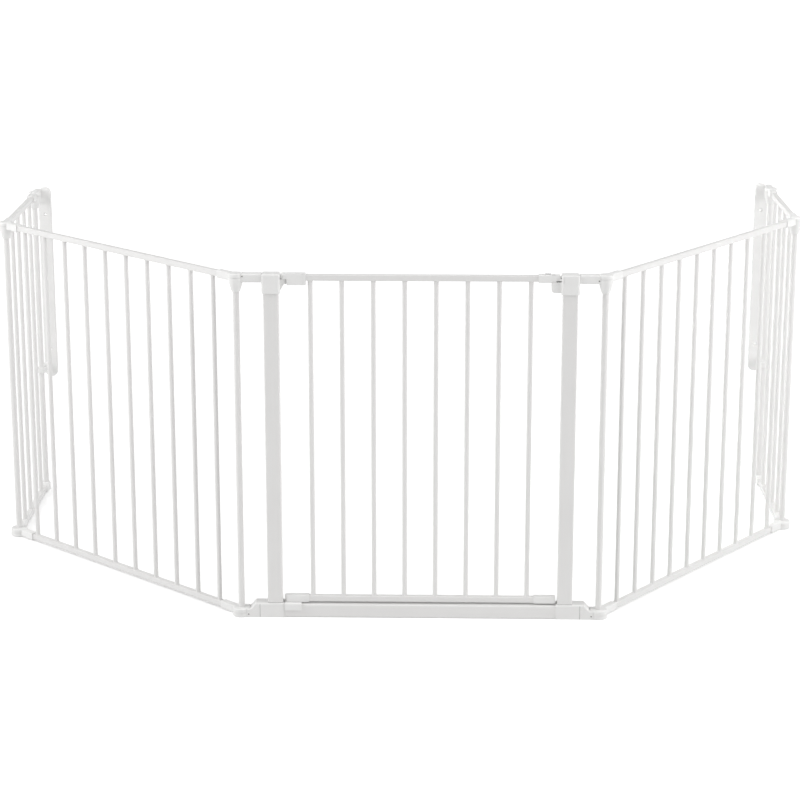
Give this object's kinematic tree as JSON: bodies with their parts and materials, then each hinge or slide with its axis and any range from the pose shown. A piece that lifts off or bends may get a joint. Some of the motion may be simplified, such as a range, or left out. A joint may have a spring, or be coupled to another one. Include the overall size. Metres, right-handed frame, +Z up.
{
  "type": "safety baby gate",
  "caption": "Free-standing hinged safety gate of white steel bars with a walk-through swing door, folding side panels and wall plates, set up as a bay around a hearth or opening",
  "frame": {"origin": "the middle of the door threshold's underside, on the floor", "axes": "+X along the closed door to its latch side, +Y behind the gate towards the wall, +Z up"},
  "size_m": [1.7344, 0.9672, 0.7115],
  "materials": {
    "white_steel": "semi-gloss white powder coat",
    "white_plastic": "satin white moulded nylon",
    "slider_plastic": "light grey moulded plastic",
    "steel": "zinc-plated steel"
  },
  "bodies": {
    "frame": {"threshold_bar": "white_steel", "left_door_post": "white_steel", "right_door_post": "white_steel", "left_post_cap": "white_plastic", "right_post_cap": "white_plastic", "left_corner_post": "white_steel", "right_corner_post": "white_steel", "left_corner_top_hub": "white_plastic", "right_corner_top_hub": "white_plastic", "left_foot_shoe": "white_plastic", "right_foot_shoe": "white_plastic", "left_short_rail": "white_steel", "right_short_rail": "white_steel", "lower_hinge_bearing": "white_plastic", "frame_screws": "steel"},
    "door_pins": {"hinge_pins": "steel"},
    "door_leaf": {"door_top_rail": "white_steel", "door_bottom_rail": "white_steel", "door_bars": "white_steel", "door_top_hinge_sleeve": "white_plastic", "door_bottom_hinge_sleeve": "white_plastic", "door_bottom_latch_sleeve": "white_plastic", "latch_housing": "white_plastic"},
    "latch": {"latch_slider": "slider_plastic"},
    "left_large": {"left_large_top_rail": "white_steel", "left_large_bottom_rail": "white_steel", "left_large_bars": "white_steel", "left_large_end_post": "white_steel", "left_large_top_hub": "white_plastic", "left_large_top_collar": "white_plastic", "left_large_bottom_collar": "white_plastic", "left_large_bottom_hub": "white_plastic"},
    "left_small": {"left_small_top_rail": "white_steel", "left_small_bottom_rail": "white_steel", "left_small_bars": "white_steel", "left_small_end_post": "white_steel", "left_small_top_hub": "white_plastic", "left_small_top_collar": "white_plastic", "left_small_bottom_collar": "white_plastic", "left_small_foot": "white_plastic"},
    "left_wall": {"left_wall_arm": "white_plastic", "left_wall_plate": "white_plastic"},
    "right_large": {"right_large_top_rail": "white_steel", "right_large_bottom_rail": "white_steel", "right_large_bars": "white_steel", "right_large_end_post": "white_steel", "right_large_top_hub": "white_plastic", "right_large_top_collar": "white_plastic", "right_large_bottom_collar": "white_plastic", "right_large_bottom_hub": "white_plastic"},
    "right_small": {"right_small_top_rail": "white_steel", "right_small_bottom_rail": "white_steel", "right_small_bars": "white_steel", "right_small_end_post": "white_steel", "right_small_top_hub": "white_plastic", "right_small_top_collar": "white_plastic", "right_small_bottom_collar": "white_plastic", "right_small_foot": "white_plastic"},
    "right_wall": {"right_wall_arm": "white_plastic", "right_wall_plate": "white_plastic"}
  },
  "joints": [
    {"name": "door_lift", "type": "slide", "parent": "frame", "child": "door_pins", "axis": [0, 0, 1], "range_m": [0, 0.008]},
    {"name": "door_swing", "type": "hinge", "parent": "door_pins", "child": "door_leaf", "pos_m": [-0.2655, 0, 0.35], "axis": [0, 0, 1], "range_deg": [-90, 90]},
    {"name": "latch_slide", "type": "slide", "parent": "door_leaf", "child": "latch", "axis": [1, 0, 0], "range_m": [0, 0.008]},
    {"name": "left_large_hinge", "type": "hinge", "parent": "frame", "child": "left_large", "pos_m": [-0.36, 0, 0.35], "axis": [0, 0, 1], "range_deg": [-48, 42]},
    {"name": "left_small_hinge", "type": "hinge", "parent": "left_large", "child": "left_small", "pos_m": [-0.89506, 0.48177, 0.35], "axis": [0, 0, 1], "range_deg": [-41, 49]},
    {"name": "left_wall_swivel", "type": "hinge", "parent": "left_small", "child": "left_wall", "pos_m": [-0.88931, 0.81172, 0.5], "axis": [0, 0, 1], "range_deg": [-60, 60]},
    {"name": "right_large_hinge", "type": "hinge", "parent": "frame", "child": "right_large", "pos_m": [0.36, 0, 0.35], "axis": [0, 0, 1], "range_deg": [-52, 38]},
    {"name": "right_small_hinge", "type": "hinge", "parent": "right_large", "child": "right_small", "pos_m": [0.80328, 0.56737, 0.35], "axis": [0, 0, 1], "range_deg": [-40, 50]},
    {"name": "right_wall_swivel", "type": "hinge", "parent": "right_small", "child": "right_wall", "pos_m": [0.79176, 0.89717, 0.5], "axis": [0, 0, 1], "range_deg": [-60, 60]}
  ]
}
